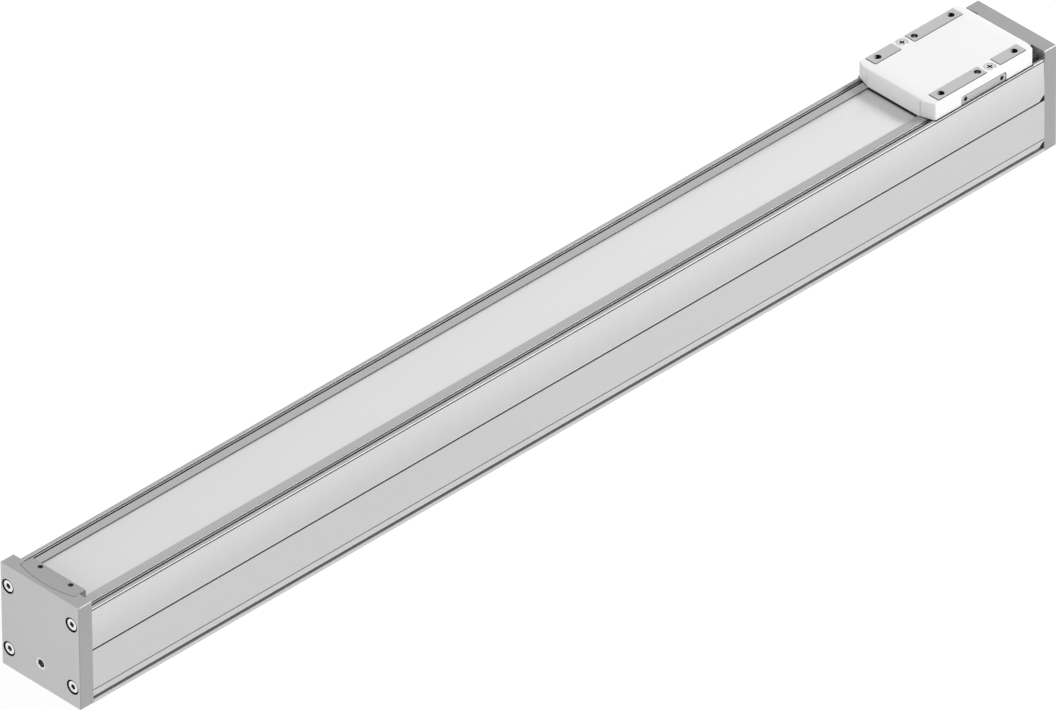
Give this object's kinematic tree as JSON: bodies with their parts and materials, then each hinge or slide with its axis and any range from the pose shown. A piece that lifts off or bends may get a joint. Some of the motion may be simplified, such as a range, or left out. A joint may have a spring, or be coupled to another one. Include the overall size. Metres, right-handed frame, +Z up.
{
  "type": "linear guide axis",
  "caption": "Long rectangular aluminium guide axis with end caps, a steel cover strip and a low white-hooded slide that runs from end to end on an inner ball guide.",
  "frame": {"origin": "middle of the underside of the profile", "axes": "+X along the axis towards the end where the slide rests, +Y across it, +Z up through the slide"},
  "size_m": [0.73, 0.06, 0.0726],
  "materials": {
    "profile_anodised": "natural anodised extrusion, satin",
    "cap_aluminium": "anodised, fine matt",
    "clamp_aluminium": "anodised, fine matt",
    "slide_aluminium": "milled and anodised",
    "strip_steel": "cold-rolled stainless strip, brushed along its length",
    "guide_steel": "ground bearing steel",
    "screw_steel": "zinc-plated",
    "cap_screw_steel": "bright zinc-plated",
    "cover_screw_steel": "bright zinc-plated",
    "set_screw_steel": "black oxide",
    "cover_plastic": "white moulded, fine matt",
    "deflector_plastic": "black moulded",
    "runner_plastic": "dark moulded",
    "seal_rubber": "black, matt",
    "buffer_rubber": "black, matt",
    "magnet_rubber": "ferrite-filled magnetic strip, dark"
  },
  "bodies": {
    "axis_frame": {"profile": "profile_anodised", "guide_rail": "guide_steel", "rail_screws": "screw_steel", "cover_strip": "strip_steel", "magnet_strips": "magnet_rubber", "far_end_cap": "cap_aluminium", "near_end_cap": "cap_aluminium", "far_strip_clamp": "clamp_aluminium", "near_strip_clamp": "clamp_aluminium", "far_cap_screws": "cap_screw_steel", "near_cap_screws": "cap_screw_steel", "clamp_set_screws": "set_screw_steel", "port_plugs": "cap_screw_steel", "end_buffers": "buffer_rubber"},
    "slide": {"runner_block": "guide_steel", "runner_end_caps": "runner_plastic", "runner_seals": "seal_rubber", "runner_screws": "screw_steel", "slide_body": "slide_aluminium", "slide_screws": "screw_steel", "slide_cover": "cover_plastic", "cover_screws": "cover_screw_steel", "strip_deflectors": "deflector_plastic"}
  },
  "joints": [
    {"name": "slide_travel", "type": "slide", "parent": "axis_frame", "child": "slide", "axis": [1, 0, 0], "range_m": [-0.6198, 0], "deforming": ["cover_strip"]}
  ]
}
